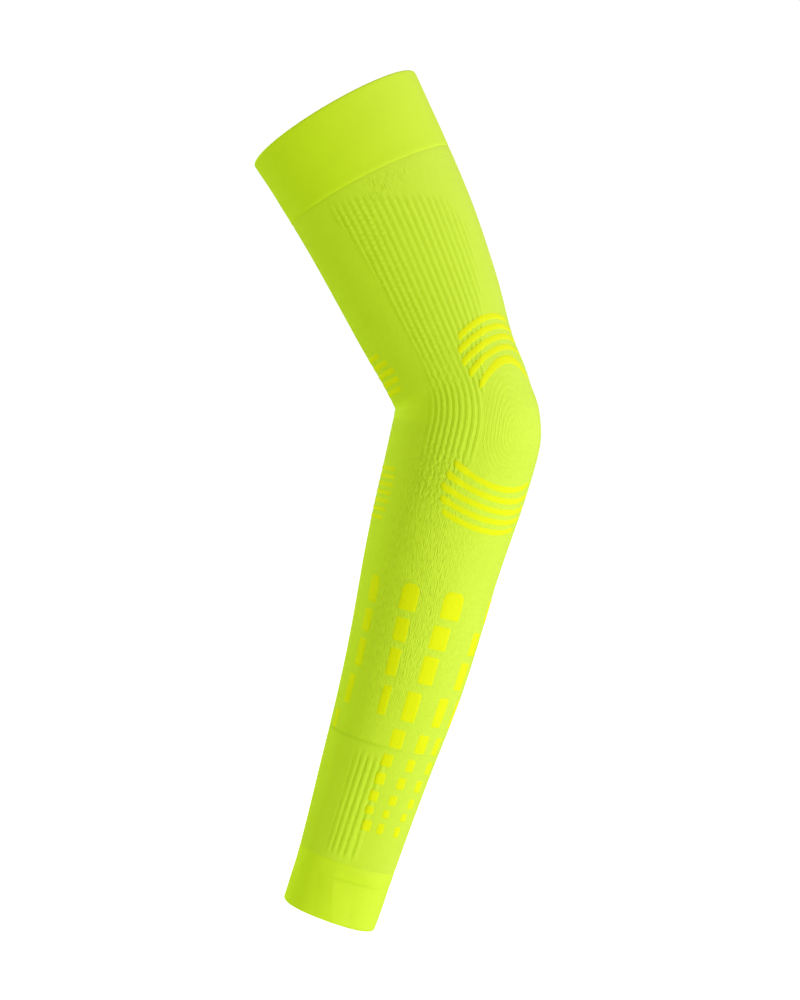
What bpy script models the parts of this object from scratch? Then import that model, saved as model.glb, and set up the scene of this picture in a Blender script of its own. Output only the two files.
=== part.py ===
"""A knitted arm compression sleeve, filled out as on a bent arm. Metres, +Z up.

The origin is the centre of the elbow. The upper arm leans back over -X, the forearm hangs down towards -X,
the inside of the elbow faces -X and its point faces +X, and the side that shows its pattern best faces -Y.
Knitted tubes meet end to end: upper cuff, three lengths of the main tube, wrist band and wrist cuff.

A place on the arm is a distance down it from the elbow's centre, a turn round it, from 0 at the inside of the
elbow over 90 degrees at -Y to 180 at the elbow's point, and an outset from the knit's smooth outside.
"""

import math
from collections import namedtuple

import bmesh
import bpy
import numpy as np

# Lengths along the arm, from the elbow's centre
UPPER_LENGTH = 0.1735
FOREARM_LENGTH = 0.289

# How the arm stands: the upper arm's lean from upright, and the elbow's bend
UPPER_LEAN_DEG = 24.0
ELBOW_BEND_DEG = 39.0

# Outside sizes: a width is seen from the side, a depth from the front
RIM_WIDTH = 0.102
RIM_DEPTH = 0.094
ELBOW_WIDTH = 0.077
ELBOW_DEPTH = 0.082
WRIST_WIDTH = 0.053
WRIST_DEPTH = 0.046
CREASE_RADIUS = 0.0055

# Knitted walls, and the gap that keeps neighbours apart
BODY_WALL = 0.0015
BAND_WALL = 0.0016
CUFF_WALL = 0.0022
JOIN_GAP = 0.0003

# Heights of the zones, measured along the arm
UPPER_CUFF_HEIGHT = 0.042
WRIST_BAND_HEIGHT = 0.067
WRIST_CUFF_HEIGHT = 0.0325

# Relief on the outside
RIB_PITCH = 0.0034
RIB_HEIGHT = 0.0006
BAND_RIB_PITCH = 0.0028
BAND_RIB_HEIGHT = 0.0005
BAND_STEP = 0.0005
CUFF_EDGE_HEIGHT = 0.0018
CUFF_EDGE_RAISE = 0.0006
WRIST_ROLL_HEIGHT = 0.0085
WRIST_ROLL_RAISE = 0.0006

# The wrist cuff's soft roll in profile: shares of its height and of its raise
WRIST_ROLL_PROFILE = ((0.0, 0.0), (0.2, 0.75), (0.5, 1.0), (0.8, 0.75), (1.0, 0.0))

# A section of the arm. along: share of that limb's length, from the end of the elbow's bend to its rim.
# In the bend itself it is a share of the bend's arc. bend: share of the elbow's bend that the arm has turned
# through there. front, back and depth: 0 is the elbow's half size, 1 the rim's on the upper arm and the wrist's
# below. square: power of the rounded outline, where 2 is an ellipse.
Section = namedtuple("Section", "along bend front back depth square")
UPPER_SECTIONS = (
    Section(1.00, -0.15, 1.00, 1.00, 1.00, 2.0),
    Section(0.76, -0.08, 0.86, 0.78, 0.80, 2.0),
    Section(0.52, 0.00, 0.47, 0.62, 0.45, 2.0),
    Section(0.27, 0.02, 0.30, 0.32, 0.10, 2.0),
    Section(0.00, 0.00, -0.06, -0.12, 0.00, 2.0),
)
ELBOW_SECTIONS = (
    Section(0.30, 0.30, 0.05, 0.07, 0.00, 2.0),
    Section(0.60, 0.60, 0.00, -0.22, 0.00, 2.0),
)
FOREARM_SECTIONS = (
    Section(0.00, 0.95, 0.00, -0.42, 0.00, 2.0),
    Section(0.13, 1.00, 0.07, -0.28, -0.05, 2.0),
    Section(0.30, 0.93, 0.20, 0.06, 0.05, 2.0),
    Section(0.50, 1.00, 0.45, 0.35, 0.35, 2.0),
    Section(0.70, 1.06, 0.68, 0.76, 0.70, 2.1),
    Section(0.90, 1.07, 0.95, 0.97, 0.94, 2.3),
    Section(1.00, 1.12, 1.00, 1.00, 1.00, 2.3),
)

# Where the body's ribs show. limb and along place a row as above. front_deg and back_deg: the turns between
# which the ribs stand there. height: share of the ribs' full height.
RibRow = namedtuple("RibRow", "limb along front_deg back_deg height")
RIB_ROWS = (
    RibRow("upper", 0.71, 58, 58, 0.0),
    RibRow("upper", 0.67, 58, 78, 1.0),
    RibRow("upper", 0.61, 60, 102, 1.0),
    RibRow("upper", 0.56, 62, 130, 1.0),
    RibRow("upper", 0.46, 65, 141, 1.0),
    RibRow("upper", 0.31, 68, 134, 1.0),
    RibRow("upper", 0.10, 70, 122, 1.0),
    RibRow("elbow", 0.50, 62, 98, 1.0),
    RibRow("forearm", 0.05, 62, 98, 1.0),
    RibRow("forearm", 0.15, 62, 88, 0.9),
    RibRow("forearm", 0.24, 50, 76, 0.5),
    RibRow("forearm", 0.36, 50, 70, 0.0),
)
RIB_EDGE_DEG = 6
BODY_RIBS_DEG = (50, 146)

# The wrist band's ribs: the turns they stand between, and the shares of its height where they fade in and out
BAND_RIBS_DEG = (64, 98)
BAND_RIB_FADES = (0.05, 0.16, 0.90, 0.98)

# Mesh steps
PLAIN_STEP_DEG = 13
RING_STEP = 0.0125
BEND_STEP_SHARE = 0.4
INNER_RING_STEP = 0.020
CUFF_COLUMNS = 44
RIM_POINTS = 5

KNIT = (0.50, 0.75, 0.015, 1.0)
SMOOTH_KNIT = (0.55, 0.80, 0.02, 1.0)
KNIT_ROUGHNESS = 0.85


def between(low, high, share):
    return low + (high - low) * share


def half_bend():
    """Half of the arc that the arm's centre runs through, turning about a point just in front of the crease."""
    return 0.5 * math.radians(ELBOW_BEND_DEG) * (ELBOW_WIDTH / 2 + CREASE_RADIUS)


def distance_at(limb, along):
    """Distance below the elbow's centre of a share of a limb: upper, elbow or forearm."""
    bend = half_bend()
    starts = {"upper": -bend, "elbow": -bend, "forearm": bend}
    ends = {"upper": -UPPER_LENGTH, "elbow": bend, "forearm": FOREARM_LENGTH}
    return between(starts[limb], ends[limb], along)


def arm_rows():
    """Columns of distance, lean, front, back, depth and square, in metres and radians, from rim to wrist."""
    limbs = (
        ("upper", UPPER_SECTIONS, RIM_WIDTH, RIM_DEPTH),
        ("elbow", ELBOW_SECTIONS, WRIST_WIDTH, WRIST_DEPTH),
        ("forearm", FOREARM_SECTIONS, WRIST_WIDTH, WRIST_DEPTH),
    )
    rows = []
    for limb, sections, width, depth in limbs:
        for section in sections:
            rows.append(
                (
                    distance_at(limb, section.along),
                    math.radians(UPPER_LEAN_DEG - section.bend * ELBOW_BEND_DEG),
                    between(ELBOW_WIDTH, width, section.front) / 2,
                    between(ELBOW_WIDTH, width, section.back) / 2,
                    between(ELBOW_DEPTH, depth, section.depth) / 2,
                    section.square,
                )
            )
    return np.array(rows).T


def smooth_through(stations, values, at):
    """A smooth curve through the values that never overshoots them, read at the given places."""
    steps = np.diff(stations)
    rises = np.diff(values) / steps
    slopes = np.concatenate(([rises[0]], np.zeros(len(rises) - 1), [rises[-1]]))
    for i in range(1, len(rises)):
        if rises[i - 1] * rises[i] > 0:
            slopes[i] = 2 * rises[i - 1] * rises[i] / (rises[i - 1] + rises[i])
    i = np.clip(np.searchsorted(stations, at, side="right") - 1, 0, len(steps) - 1)
    t = (at - stations[i]) / steps[i]
    rise = values[i + 1] - values[i]
    start = slopes[i] * steps[i]
    end = slopes[i + 1] * steps[i]
    return values[i] + t * start + t * t * (3 * rise - 2 * start - end) + t**3 * (start + end - 2 * rise)


class Arm:
    """The filled-out shape that the sleeve follows, as a centre line with a rounded section at each distance."""

    CENTRE_STEPS = 2400

    def __init__(self):
        self.rows = arm_rows()
        distances = self.rows[0]
        self.fine = np.linspace(distances[0], distances[-1], self.CENTRE_STEPS)
        lean = np.interp(self.fine, distances, self.rows[1])
        step = self.fine[1] - self.fine[0]
        path = []
        for direction in (np.sin(lean), -np.cos(lean)):
            middle = (direction[1:] + direction[:-1]) / 2 * step
            run = np.concatenate(([0.0], np.cumsum(middle)))
            path.append(run - np.interp(0.0, self.fine, run))
        self.path_x, self.path_z = path

    def lean(self, distance):
        return np.interp(distance, self.rows[0], self.rows[1])

    def centre(self, distance):
        x = np.interp(distance, self.fine, self.path_x)
        z = np.interp(distance, self.fine, self.path_z)
        return np.stack([x, np.zeros_like(x), z], axis=-1)

    def points(self, distance, turn, outset=0.0):
        """Points at arrays of distance, turn in radians and outset, which are broadcast together."""
        distance, turn, outset = np.broadcast_arrays(
            np.asarray(distance, float), np.asarray(turn, float), np.asarray(outset, float)
        )
        front, back, depth, square = (smooth_through(self.rows[0], row, distance) for row in self.rows[2:])
        across = np.cos(turn)
        side = np.sin(turn)
        width = np.where(across > 0, front, back)
        rounded_across = np.sign(across) * np.abs(across) ** (2 / square)
        rounded_side = np.sign(side) * np.abs(side) ** (2 / square)
        out_across = np.sign(across) * np.abs(rounded_across) ** (square - 1) / width
        out_side = np.sign(side) * np.abs(rounded_side) ** (square - 1) / depth
        length = np.hypot(out_across, out_side)
        forward = width * rounded_across + outset * out_across / length
        sideways = depth * rounded_side + outset * out_side / length
        lean = self.lean(distance)
        offset = np.stack([-forward * np.cos(lean), -sideways, -forward * np.sin(lean)], axis=-1)
        return self.centre(distance) + offset


ARM = Arm()
RIM_AT = -UPPER_LENGTH
CUFF_LINE_AT = RIM_AT + UPPER_CUFF_HEIGHT
WRIST_AT = FOREARM_LENGTH
WRIST_LINE_AT = WRIST_AT - WRIST_CUFF_HEIGHT
BAND_LINE_AT = WRIST_LINE_AT - WRIST_BAND_HEIGHT


def ramp(low, high, value):
    """0 below low, 1 above high and a smooth rise between."""
    share = np.clip((value - low) / (high - low), 0.0, 1.0)
    return share * share * (3 - 2 * share)


def column_turns(ribs_deg, pitch, radius):
    """Turns right round the arm, in radians, and which of them are rib crests. The two sides mirror each other.

    Crests and grooves alternate in the ribbed stretch of each side, and plain columns lie between."""
    first, last = ribs_deg
    stretch = math.radians(last - first) * radius
    ribs = max(2, round(stretch / pitch))
    front = math.ceil(first / PLAIN_STEP_DEG)
    back = math.ceil((180 - last) / PLAIN_STEP_DEG)
    half = [first * i / front for i in range(front)]
    half += [between(first, last, i / (2 * ribs)) for i in range(2 * ribs)]
    half += [between(last, 180, i / back) for i in range(back)]
    crest = [False] * front + [i % 2 == 1 for i in range(2 * ribs)] + [False] * back
    turns = half + [180] + [360 - turn for turn in reversed(half[1:])]
    crests = crest + [False] + list(reversed(crest[1:]))
    return np.radians(turns), np.array(crests)


def side_deg(turns):
    """Each turn as degrees from the inside of the elbow, the same on both sides of the arm."""
    return np.degrees(np.minimum(turns, 2 * math.pi - turns))


def body_relief(distance, turns, crests):
    """How far the body's outside stands proud at one distance, for each column."""
    rows = np.array([(distance_at(row.limb, row.along), *row[2:]) for row in RIB_ROWS]).T
    front, back, height = (np.interp(distance, rows[0], column) for column in rows[1:])
    turn = side_deg(turns)
    inside = ramp(front - RIB_EDGE_DEG, front, turn) * ramp(-back - RIB_EDGE_DEG, -back, -turn)
    return RIB_HEIGHT * height * inside * crests


def band_relief(distance, turns, crests):
    """The band starts a step below the body, rises to the wrist cuff and carries its own ribs."""
    share = (distance - BAND_LINE_AT) / WRIST_BAND_HEIGHT
    fade_in, full, fade_out, gone = BAND_RIB_FADES
    ribs = ramp(fade_in, full, share) * (1 - ramp(fade_out, gone, share))
    turn = side_deg(turns)
    first, last = BAND_RIBS_DEG
    inside = ramp(first, first + RIB_EDGE_DEG, turn) * ramp(-last, RIB_EDGE_DEG - last, -turn)
    return BAND_RIB_HEIGHT * ribs * inside * crests - BAND_STEP * (1 - ramp(0.0, 1.0, share))


def ring_distances(start, end, step):
    """Distances from start to end, a step apart or less, and closer through the elbow's bend."""
    stations = [start]
    bend = half_bend()
    marks = [mark for mark in (-bend, bend) if start < mark < end] + [end]
    for mark in marks:
        low = stations[-1]
        in_bend = -bend <= (low + mark) / 2 <= bend
        wanted = step * BEND_STEP_SHARE if in_bend else step
        count = max(1, math.ceil((mark - low) / wanted))
        stations += [between(low, mark, (i + 1) / count) for i in range(count)]
    return stations


def new_object(name, bm, colour):
    bmesh.ops.recalc_face_normals(bm, faces=bm.faces)
    mesh = bpy.data.meshes.new(name)
    bm.to_mesh(mesh)
    bm.free()
    mesh.shade_smooth()
    material = bpy.data.materials.new(name)
    material.use_nodes = True
    shader = material.node_tree.nodes["Principled BSDF"]
    shader.inputs["Base Color"].default_value = colour
    shader.inputs["Roughness"].default_value = KNIT_ROUGHNESS
    shader.inputs["Metallic"].default_value = 0.0
    mesh.materials.append(material)
    piece = bpy.data.objects.new(name, mesh)
    bpy.context.scene.collection.objects.link(piece)
    return piece


def add_ring(bm, distance, turns, outset):
    return [bm.verts.new(point) for point in ARM.points(distance, turns, outset)]


def join_rings(bm, ring, other):
    """Faces between two closed rings of as many points."""
    count = len(ring)
    for i in range(count):
        j = (i + 1) % count
        bm.faces.new((ring[i], ring[j], other[j], other[i]))


def join_to_half(bm, ring, half):
    """Faces between a closed ring and one that has every second of its columns."""
    count = len(ring)
    for i in range(0, count, 2):
        here = half[i // 2]
        after = half[(i // 2 + 1) % len(half)]
        middle = ring[i + 1]
        bm.faces.new((ring[i], middle, here))
        bm.faces.new((middle, after, here))
        bm.faces.new((middle, ring[(i + 2) % count], after))


def knitted_tube(name, start, end, wall, turns, crests, relief):
    """An open tube of even wall with relief on its outside, between two distances."""
    bm = bmesh.new()
    outside = []
    for distance in ring_distances(start, end, RING_STEP):
        outside.append(add_ring(bm, distance, turns, relief(distance, turns, crests)))
    inside = []
    for distance in ring_distances(start, end, INNER_RING_STEP):
        level = relief(distance, turns[::2], np.zeros(len(turns[::2]), bool))
        inside.append(add_ring(bm, distance, turns[::2], level - wall))
    for rings in (outside, inside):
        for ring, following in zip(rings, rings[1:]):
            join_rings(bm, ring, following)
    for i in (0, -1):
        join_to_half(bm, outside[i], inside[i])
    return new_object(name, bm, KNIT)


def cuff_tube(name, profile):
    """A tube whose closed profile is a loop of (distance, outset) points, carried right round the arm."""
    bm = bmesh.new()
    turns = np.linspace(0, 2 * math.pi, CUFF_COLUMNS, endpoint=False)
    rings = [add_ring(bm, distance, turns, outset) for distance, outset in profile]
    for ring, following in zip(rings, rings[1:] + rings[:1]):
        join_rings(bm, ring, following)
    return new_object(name, bm, SMOOTH_KNIT)


def rounded_rim(rim, inward):
    """The folded edge of a cuff: half a circle from its outside to its inside. inward points into the cuff."""
    radius = CUFF_WALL / 2
    points = []
    for i in range(RIM_POINTS):
        angle = math.pi * i / (RIM_POINTS - 1)
        points.append((rim + inward * radius * (1 - math.sin(angle)), radius * (math.cos(angle) - 1)))
    return points


def upper_cuff():
    end = CUFF_LINE_AT - JOIN_GAP / 2
    edge = end - CUFF_EDGE_HEIGHT
    outside = [
        (end, 0.0),
        (end - CUFF_EDGE_HEIGHT / 4, CUFF_EDGE_RAISE),
        (edge + CUFF_EDGE_HEIGHT / 4, CUFF_EDGE_RAISE),
        (edge, 0.0),
        (between(edge, RIM_AT, 1 / 3), 0.0),
        (between(edge, RIM_AT, 2 / 3), 0.0),
    ]
    inside = [(between(RIM_AT, end, 1 / 2), -CUFF_WALL), (end, -CUFF_WALL)]
    return cuff_tube("upper_cuff", outside + rounded_rim(RIM_AT, 1) + inside)


def main_tube():
    """The main tube in three simple lengths, which meet where the elbow's bend starts and ends."""
    radius = (ELBOW_WIDTH + ELBOW_DEPTH) / 4
    turns, crests = column_turns(BODY_RIBS_DEG, RIB_PITCH, radius)
    bend = half_bend()
    lengths = (
        ("upper_arm_tube", CUFF_LINE_AT, -bend),
        ("elbow_tube", -bend, bend),
        ("forearm_tube", bend, BAND_LINE_AT),
    )
    for name, start, end in lengths:
        knitted_tube(name, start + JOIN_GAP / 2, end - JOIN_GAP / 2, BODY_WALL, turns, crests, body_relief)


def wrist_band():
    radius = (WRIST_WIDTH + WRIST_DEPTH) / 4
    turns, crests = column_turns(BAND_RIBS_DEG, BAND_RIB_PITCH, radius)
    start = BAND_LINE_AT + JOIN_GAP / 2
    end = WRIST_LINE_AT - JOIN_GAP / 2
    return knitted_tube("wrist_band", start, end, BAND_WALL, turns, crests, band_relief)


def wrist_cuff():
    start = WRIST_LINE_AT + JOIN_GAP / 2
    roll_end = start + WRIST_ROLL_HEIGHT
    outside = [(between(start, roll_end, low), WRIST_ROLL_RAISE * rise) for low, rise in WRIST_ROLL_PROFILE]
    outside.append((between(roll_end, WRIST_AT, 1 / 2), 0.0))
    inside = [(between(WRIST_AT, start, 1 / 2), -CUFF_WALL), (start, -CUFF_WALL)]
    return cuff_tube("wrist_cuff", outside + rounded_rim(WRIST_AT, -1) + inside)


def main():
    for old in list(bpy.data.objects):
        bpy.data.objects.remove(old)
    upper_cuff()
    main_tube()
    wrist_band()
    wrist_cuff()


main()
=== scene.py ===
# %% [markdown]
# A knitted arm sleeve. The real object is one seamless tube of stretch knit, made on a round machine that
# changes its stitch from zone to zone: a smooth folded cuff at each end, ribs that let the upper arm and
# the elbow move, a plain wavy knit on the forearm, and small raised dashes in a second, yellow yarn. This
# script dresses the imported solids, which already stand bent as on an arm, with those zones. First it loads
# them and keeps their box.

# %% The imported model
import math
from collections import namedtuple

import bpy
import numpy as np
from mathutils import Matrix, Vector


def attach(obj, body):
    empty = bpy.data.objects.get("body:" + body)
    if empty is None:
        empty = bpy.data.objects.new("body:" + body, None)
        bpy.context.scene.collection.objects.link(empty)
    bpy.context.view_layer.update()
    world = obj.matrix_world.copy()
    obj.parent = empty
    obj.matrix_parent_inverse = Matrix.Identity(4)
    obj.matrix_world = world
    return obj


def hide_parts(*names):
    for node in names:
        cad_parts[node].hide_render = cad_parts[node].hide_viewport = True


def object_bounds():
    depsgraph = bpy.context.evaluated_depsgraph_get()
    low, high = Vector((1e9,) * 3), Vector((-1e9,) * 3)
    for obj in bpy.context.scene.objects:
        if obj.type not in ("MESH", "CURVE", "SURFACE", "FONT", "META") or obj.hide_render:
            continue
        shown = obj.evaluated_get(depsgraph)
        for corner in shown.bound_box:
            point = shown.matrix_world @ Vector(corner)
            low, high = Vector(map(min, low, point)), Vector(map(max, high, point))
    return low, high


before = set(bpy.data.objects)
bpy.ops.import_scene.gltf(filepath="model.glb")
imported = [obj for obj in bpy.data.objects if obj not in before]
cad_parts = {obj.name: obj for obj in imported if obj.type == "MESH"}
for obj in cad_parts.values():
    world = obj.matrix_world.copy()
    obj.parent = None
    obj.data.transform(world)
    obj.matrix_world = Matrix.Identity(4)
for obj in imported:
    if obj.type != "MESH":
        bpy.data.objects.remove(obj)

CAD_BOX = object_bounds()
print("nodes:", sorted(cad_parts))

# %% [markdown]
# Everything on the sleeve is placed by three numbers: the distance down the arm from the elbow, the turn
# round it, and the outset from the smooth outside of the knit. Turn 0 is the inside of the elbow, 90
# degrees the side that faces the camera and 180 the elbow's point. The sizes below are the solids' own,
# because the dressed sleeve has to lie on them. A designer could also sculpt the tube, but a formula keeps
# ribs, dashes and cuffs in register.

# %% Sizes of the arm inside
UPPER_LENGTH = 0.1735
FOREARM_LENGTH = 0.289
UPPER_LEAN_DEG = 24.0
ELBOW_BEND_DEG = 39.0
RIM_WIDTH = 0.102
RIM_DEPTH = 0.094
ELBOW_WIDTH = 0.077
ELBOW_DEPTH = 0.082
WRIST_WIDTH = 0.053
WRIST_DEPTH = 0.046
CREASE_RADIUS = 0.0055

UPPER_CUFF_HEIGHT = 0.042
WRIST_BAND_HEIGHT = 0.067
WRIST_CUFF_HEIGHT = 0.0325

RIM_AT = -UPPER_LENGTH
CUFF_LINE_AT = RIM_AT + UPPER_CUFF_HEIGHT
WRIST_AT = FOREARM_LENGTH
WRIST_LINE_AT = WRIST_AT - WRIST_CUFF_HEIGHT
BAND_LINE_AT = WRIST_LINE_AT - WRIST_BAND_HEIGHT
ZONE_STARTS = (RIM_AT, CUFF_LINE_AT, BAND_LINE_AT, WRIST_LINE_AT)
print("zones start at", [round(start * 1000, 1) for start in ZONE_STARTS], "mm")

# %% [markdown]
# A short table gives the arm's section at a few places, as shares: 0 is the elbow's half size and 1 the
# rim's or the wrist's. bend is the share of the elbow's bend that the arm has turned through by there, and
# square is the power of the rounded outline. Between the rows a smooth curve runs that never overshoots
# them, so that the outline swells over the upper arm, nips in above the elbow and tapers to the wrist as
# the one in the photo does. The rows are the solids' own but for the upper arm's front, where three shares
# are up to 0.08 off, a millimetre, because the photo's outline runs smoother there.

# %% Sections of the arm
Section = namedtuple("Section", "along bend front back depth square")
UPPER_SECTIONS = (
    Section(1.00, -0.15, 1.00, 1.00, 1.00, 2.0),
    Section(0.76, -0.08, 0.79, 0.78, 0.80, 2.0),
    Section(0.52, 0.00, 0.55, 0.62, 0.45, 2.0),
    Section(0.27, 0.02, 0.27, 0.32, 0.10, 2.0),
    Section(0.00, 0.00, -0.06, -0.12, 0.00, 2.0),
)
ELBOW_SECTIONS = (
    Section(0.30, 0.30, 0.05, 0.07, 0.00, 2.0),
    Section(0.60, 0.60, 0.00, -0.22, 0.00, 2.0),
)
FOREARM_SECTIONS = (
    Section(0.00, 0.95, 0.00, -0.42, 0.00, 2.0),
    Section(0.13, 1.00, 0.07, -0.28, -0.05, 2.0),
    Section(0.30, 0.93, 0.20, 0.06, 0.05, 2.0),
    Section(0.50, 1.00, 0.45, 0.35, 0.35, 2.0),
    Section(0.70, 1.06, 0.68, 0.76, 0.70, 2.1),
    Section(0.90, 1.07, 0.95, 0.97, 0.94, 2.3),
    Section(1.00, 1.12, 1.00, 1.00, 1.00, 2.3),
)
HALF_BEND = 0.5 * math.radians(ELBOW_BEND_DEG) * (ELBOW_WIDTH / 2 + CREASE_RADIUS)
LIMB_SPANS = {
    "upper": (-HALF_BEND, -UPPER_LENGTH),
    "elbow": (-HALF_BEND, HALF_BEND),
    "forearm": (HALF_BEND, FOREARM_LENGTH),
}


def between(low, high, share):
    return low + (high - low) * share


def distance_at(limb, along):
    return between(*LIMB_SPANS[limb], along)


def arm_rows():
    limbs = (
        ("upper", UPPER_SECTIONS, RIM_WIDTH, RIM_DEPTH),
        ("elbow", ELBOW_SECTIONS, WRIST_WIDTH, WRIST_DEPTH),
        ("forearm", FOREARM_SECTIONS, WRIST_WIDTH, WRIST_DEPTH),
    )
    rows = []
    for limb, sections, width, depth in limbs:
        for row in sections:
            lean = math.radians(UPPER_LEAN_DEG - row.bend * ELBOW_BEND_DEG)
            sizes = [between(ELBOW_WIDTH, width, share) / 2 for share in (row.front, row.back)]
            sizes.append(between(ELBOW_DEPTH, depth, row.depth) / 2)
            rows.append((distance_at(limb, row.along), lean, *sizes, row.square))
    return np.array(rows).T


ROWS = arm_rows()
print("sections:", ROWS.shape[1])

# %% [markdown]
# The centre line is found by walking down the arm in small steps, each in the direction of its lean. A
# section stands square to that line. Its outline is an ellipse whose front and back halves differ, and its
# normal gives the direction in which ribs and pads are pushed out. All of it works on whole arrays at once,
# which is what lets the script place two hundred thousand points in a second or two.

# %% The arm as a formula
CENTRE_STEPS = 2400


def smooth_through(stations, values, at):
    steps = np.diff(stations)
    rises = np.diff(values) / steps
    slopes = np.concatenate(([rises[0]], np.zeros(len(rises) - 1), [rises[-1]]))
    for i in range(1, len(rises)):
        if rises[i - 1] * rises[i] > 0:
            slopes[i] = 2 * rises[i - 1] * rises[i] / (rises[i - 1] + rises[i])
    i = np.clip(np.searchsorted(stations, at, side="right") - 1, 0, len(steps) - 1)
    t = (at - stations[i]) / steps[i]
    rise = values[i + 1] - values[i]
    start = slopes[i] * steps[i]
    end = slopes[i + 1] * steps[i]
    return values[i] + t * start + t * t * (3 * rise - 2 * start - end) + t**3 * (start + end - 2 * rise)


def centre_line():
    fine = np.linspace(ROWS[0][0], ROWS[0][-1], CENTRE_STEPS)
    lean = np.interp(fine, ROWS[0], ROWS[1])
    path = []
    for direction in (np.sin(lean), -np.cos(lean)):
        middle = (direction[1:] + direction[:-1]) / 2 * (fine[1] - fine[0])
        run = np.concatenate(([0.0], np.cumsum(middle)))
        path.append(run - np.interp(0.0, fine, run))
    return fine, path[0], path[1]


CENTRE = centre_line()


def outline(distance, turn):
    """Forward and sideways parts of the outline and of its normal, at distances and turns in radians."""
    front, back, depth, square = (smooth_through(ROWS[0], row, distance) for row in ROWS[2:])
    across, side = np.cos(turn), np.sin(turn)
    width = np.where(across > 0, front, back)
    across = np.sign(across) * np.abs(across) ** (2 / square)
    side = np.sign(side) * np.abs(side) ** (2 / square)
    out_across = np.sign(across) * np.abs(across) ** (square - 1) / width
    out_side = np.sign(side) * np.abs(side) ** (square - 1) / depth
    length = np.hypot(out_across, out_side)
    return width * across, depth * side, out_across / length, out_side / length


def on_arm(distance, turn, outset=0.0):
    """Points at distances, turns in radians and outsets, which are broadcast together."""
    distance, turn, outset = np.broadcast_arrays(*(np.asarray(v, float) for v in (distance, turn, outset)))
    forward, sideways, out_forward, out_sideways = outline(distance, turn)
    forward = forward + outset * out_forward
    sideways = sideways + outset * out_sideways
    lean = np.interp(distance, ROWS[0], ROWS[1])
    x = np.interp(distance, CENTRE[0], CENTRE[1]) - forward * np.cos(lean)
    z = np.interp(distance, CENTRE[0], CENTRE[2]) - forward * np.sin(lean)
    return np.stack([x, -sideways, z], axis=-1)


sample = on_arm(np.linspace(-HALF_BEND, HALF_BEND, 60)[:, None], np.radians(np.arange(0, 360, 3)))
print("elbow box, formula:", sample.min((0, 1)).round(4), sample.max((0, 1)).round(4))

# %% [markdown]
# The camera comes early, so that each piece can be looked at as soon as it is made. The photo was taken
# level, from the side of the sleeve, and the bulge of both rims says how far away: a little over a metre.
# One pixel of the 800 by 1000 picture is then 0.55 mm at the middle of the arm, and the elbow's centre sits
# at the pixel below.

# %% Camera
PIXEL = 0.00055
CAMERA_DISTANCE = 1.06
IMAGE_WIDTH, IMAGE_HEIGHT = 800, 1000
ELBOW_PIXEL = (464, 406)
SENSOR_HEIGHT_MM = 36.0

camera = bpy.data.objects.new("camera", bpy.data.cameras.new("camera"))
bpy.context.scene.collection.objects.link(camera)
camera.location = (
    (IMAGE_WIDTH / 2 - ELBOW_PIXEL[0]) * PIXEL,
    -CAMERA_DISTANCE,
    (ELBOW_PIXEL[1] - IMAGE_HEIGHT / 2) * PIXEL,
)
camera.rotation_euler = (math.radians(90), 0, 0)
camera.data.sensor_fit = "VERTICAL"
camera.data.sensor_height = SENSOR_HEIGHT_MM
camera.data.lens = SENSOR_HEIGHT_MM * CAMERA_DISTANCE / (IMAGE_HEIGHT * PIXEL)
camera.data.dof.use_dof = False
bpy.context.scene.camera = camera
print("lens:", round(camera.data.lens, 1), "mm")

# %% [markdown]
# Knit is far too fine to model stitch by stitch, but its relief is not: ribs, the lip of a cuff and the
# step above the wrist are one or two pixels of the photograph each, so they are real geometry. A sheet of
# the sleeve is a grid, with a row of points at each distance and a column at each turn. The helpers below
# close such a grid round the arm, and join its end to that of a coarser grid, the inside of the wall.

# %% Grids that close round the arm
def mean_radius(distance):
    front, back, depth = (smooth_through(ROWS[0], row, np.asarray(distance, float)) for row in ROWS[2:5])
    return (front + back + 2 * depth) / 4


ELBOW_RADIUS = float(mean_radius(0.0))


def side_deg(turn):
    """Degrees from the inside of the elbow, the same on both sides of the arm."""
    turn = np.mod(turn, 2 * math.pi)
    return np.degrees(np.minimum(turn, 2 * math.pi - turn))


def sector_turns(sectors):
    """Turns round the arm. sectors lists, for one side, each sector's end in degrees and its columns."""
    half, low = [], 0.0
    for high, count in sectors:
        half += [between(low, high, i / count) for i in range(count)]
        low = high
    return np.radians(half + [180.0] + [360.0 - turn for turn in reversed(half[1:])])


def quads(rows, columns, first, closed):
    """Corner numbers of a grid's quads, closed round the arm or open."""
    across = np.arange(columns if closed else columns - 1)
    down = np.arange(rows - 1)[:, None]
    here = first + down * columns + across
    right = first + down * columns + (across + 1) % columns
    return np.stack([here, right, right + columns, here + columns], axis=-1).reshape(-1, 4)


def ends_joined(outer, inner):
    """Triangles between a ring and a coarser ring whose count divides it, both given as corner numbers."""
    ratio = len(outer) // len(inner)
    half = ratio // 2
    faces = []
    for i, here in enumerate(inner):
        after = inner[(i + 1) % len(inner)]
        for k in range(ratio):
            a = outer[i * ratio + k]
            b = outer[(i * ratio + k + 1) % len(outer)]
            faces.append((a, b, here if k < half else after))
            if k == half - 1:
                faces.append((b, after, here))
    return faces


print("mean radius at the elbow:", round(ELBOW_RADIUS * 1000, 1), "mm")

# %% [markdown]
# One function makes every piece from such grids, and keeps what its finish needs to know. It writes a map
# in metres, round the arm and down it, which the knit materials read so that their stitches run the right
# way. It can also write masks, one number for each point, such as how deep in a groove the point lies.

# %% Pieces and knitted tubes
KNIT_MAP = "knit"


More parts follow.
